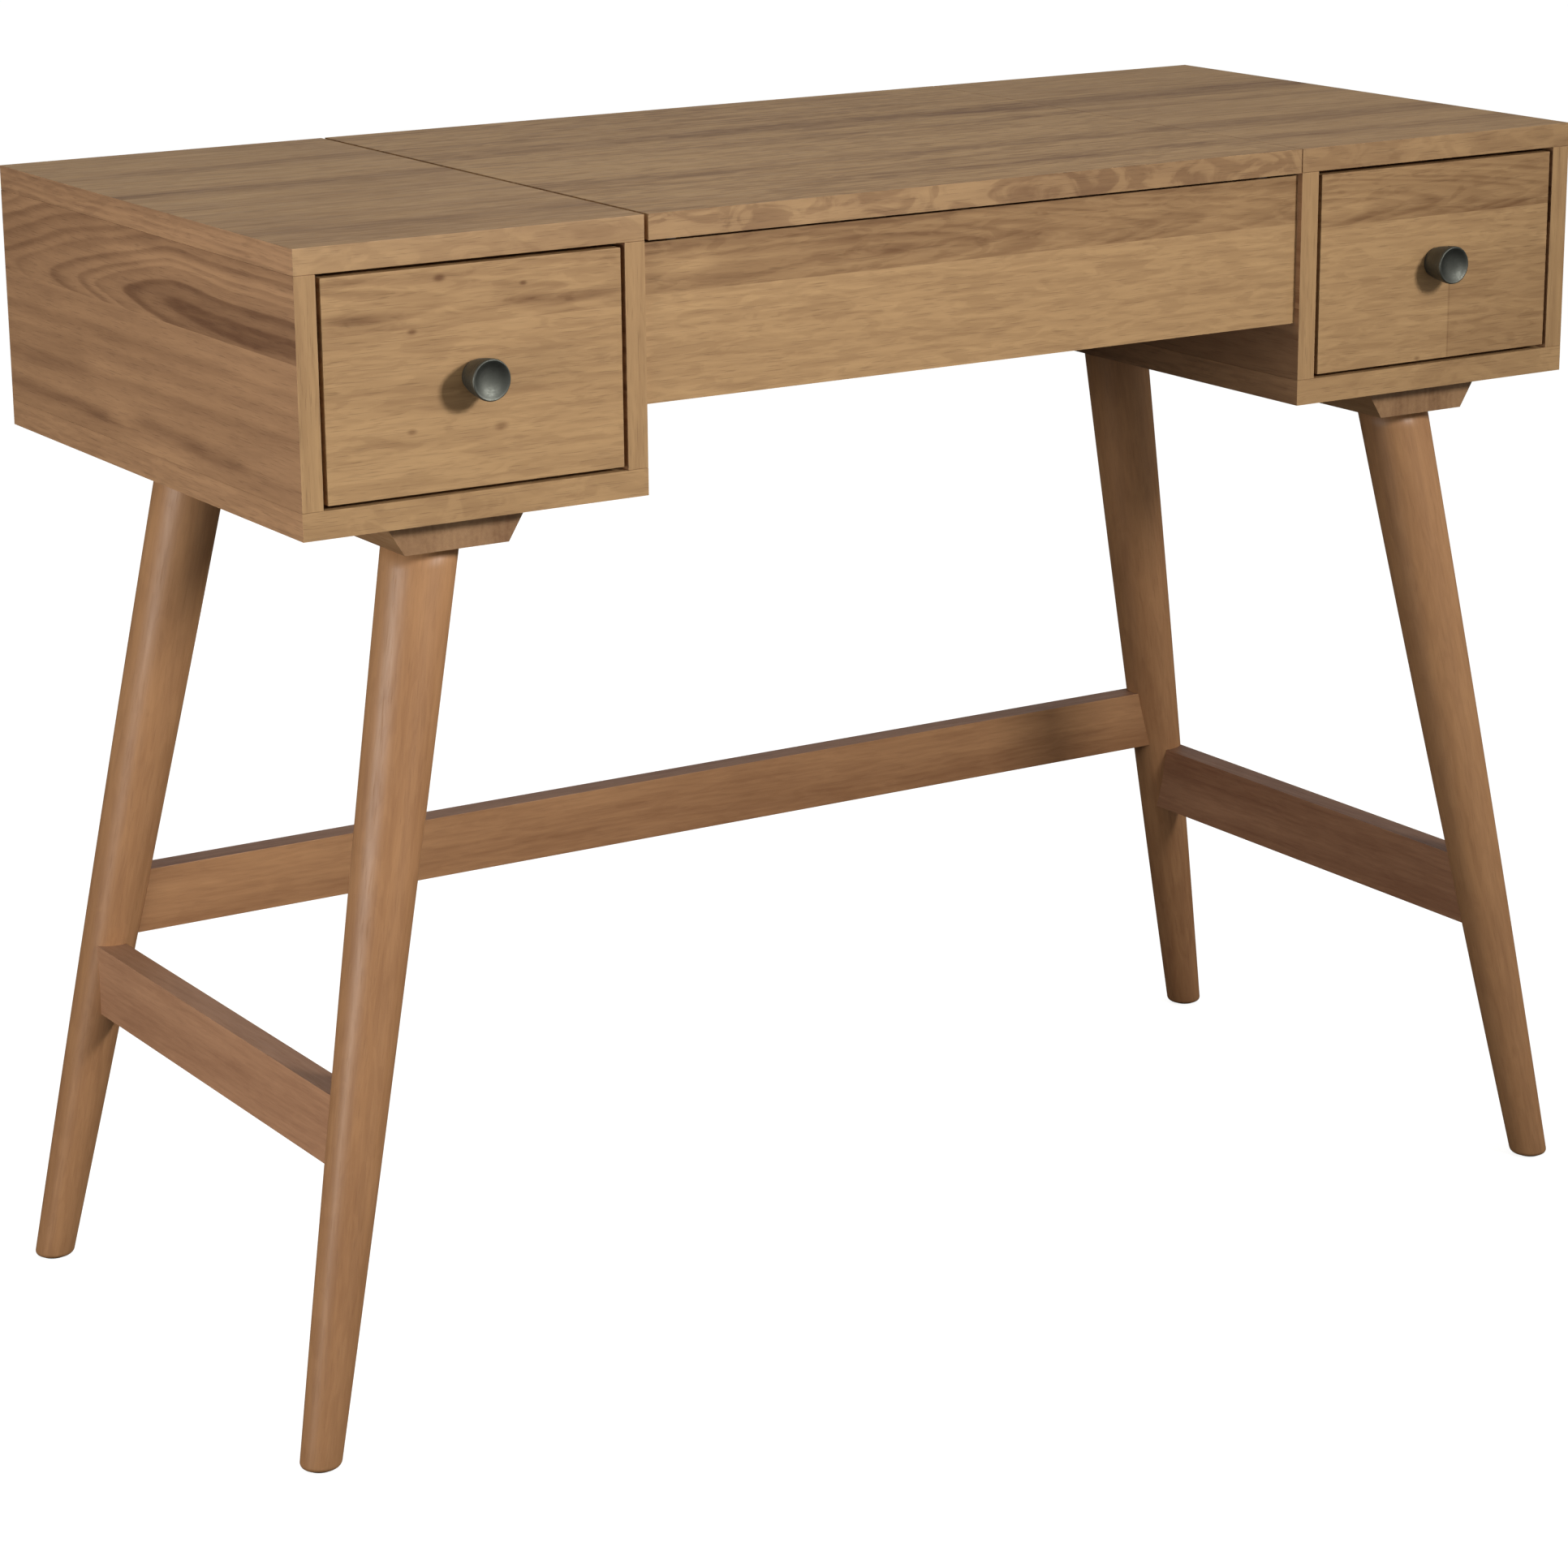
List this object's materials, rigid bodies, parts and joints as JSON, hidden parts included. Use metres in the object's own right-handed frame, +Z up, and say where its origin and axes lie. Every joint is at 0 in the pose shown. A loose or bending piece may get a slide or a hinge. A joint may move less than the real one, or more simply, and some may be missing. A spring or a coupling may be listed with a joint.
{
  "type": "dressing table with mirror",
  "caption": "Dressing table: drawer boxes joined by a lidded well with a flip-up mirror, on splayed round legs with stretchers.",
  "frame": {"origin": "on the floor, at the middle of the footprint over the knobs and hinges", "axes": "+X to the right along the front, +Y from the drawer fronts to the back, +Z up"},
  "size_m": [1.0206, 0.4618, 0.762],
  "materials": {
    "case_wood": "satin lacquer over oak, open straight grain",
    "leg_wood": "satin lacquer over stained hardwood",
    "drawer_wood": "clear sealed pale hardwood",
    "thin_board": "clear sealed plywood",
    "fastener_steel": "zinc plated",
    "hinge_metal": "satin nickel plated",
    "slide_steel": "zinc plated",
    "knob_metal": "satin antique pewter",
    "mirror_glass": "silvered",
    "glide_nylon": "matt nylon",
    "bumper_plastic": "clear soft plastic"
  },
  "bodies": {
    "desk": {"left_top_panel": "case_wood", "left_bottom_panel": "case_wood", "left_outer_side": "case_wood", "left_inner_side": "case_wood", "left_back_panel": "thin_board", "right_top_panel": "case_wood", "right_bottom_panel": "case_wood", "right_outer_side": "case_wood", "right_inner_side": "case_wood", "right_back_panel": "thin_board", "apron": "case_wood", "well_floor": "thin_board", "hinge_rail": "case_wood", "left_cleat": "leg_wood", "right_cleat": "leg_wood", "front_left_leg": "leg_wood", "back_left_leg": "leg_wood", "front_right_leg": "leg_wood", "back_right_leg": "leg_wood", "left_stretcher": "leg_wood", "right_stretcher": "leg_wood", "rear_stretcher": "leg_wood", "foot_glides": "glide_nylon", "leg_bolts": "fastener_steel", "cleat_screws": "fastener_steel", "case_screws": "fastener_steel", "lid_bumpers": "bumper_plastic", "rail_hinge_leaves": "hinge_metal", "rail_hinge_screws": "fastener_steel", "hinge_pins": "hinge_metal", "left_case_slides": "slide_steel", "right_case_slides": "slide_steel"},
    "lid": {"lid_panel": "case_wood", "lid_hinge_leaves": "hinge_metal", "lid_hinge_screws": "fastener_steel", "mirror_backing": "thin_board", "mirror_glass": "mirror_glass", "mirror_frame_rails": "case_wood", "mirror_frame_stiles": "case_wood"},
    "left_drawer": {"left_drawer_front": "case_wood", "left_drawer_box_front": "drawer_wood", "left_drawer_outer_side": "drawer_wood", "left_drawer_inner_side": "drawer_wood", "left_drawer_back": "drawer_wood", "left_drawer_bottom": "thin_board", "left_drawer_slides": "slide_steel", "left_knob": "knob_metal", "left_knob_screw": "fastener_steel"},
    "left_slide_middles": {"left_middle_slides": "slide_steel"},
    "right_drawer": {"right_drawer_front": "case_wood", "right_drawer_box_front": "drawer_wood", "right_drawer_outer_side": "drawer_wood", "right_drawer_inner_side": "drawer_wood", "right_drawer_back": "drawer_wood", "right_drawer_bottom": "thin_board", "right_drawer_slides": "slide_steel", "right_knob": "knob_metal", "right_knob_screw": "fastener_steel"},
    "right_slide_middles": {"right_middle_slides": "slide_steel"}
  },
  "joints": [
    {"name": "lid_hinge", "type": "hinge", "parent": "desk", "child": "lid", "pos_m": [0, 0.2277, 0.7445], "axis": [-1, 0, 0], "range_deg": [0, 100]},
    {"name": "left_drawer_slide", "type": "slide", "parent": "desk", "child": "left_drawer", "axis": [0, -1, 0], "range_m": [0, 0.3]},
    {"name": "left_slide_middles_travel", "type": "slide", "parent": "desk", "child": "left_slide_middles", "axis": [0, -1, 0], "range_m": [0, 0.15]},
    {"name": "right_drawer_slide", "type": "slide", "parent": "desk", "child": "right_drawer", "axis": [0, -1, 0], "range_m": [0, 0.3]},
    {"name": "right_slide_middles_travel", "type": "slide", "parent": "desk", "child": "right_slide_middles", "axis": [0, -1, 0], "range_m": [0, 0.15]}
  ],
  "couplings": [
    {"joint": "left_slide_middles_travel", "follows": "left_drawer_slide", "ratio": 0.5},
    {"joint": "right_slide_middles_travel", "follows": "right_drawer_slide", "ratio": 0.5}
  ]
}
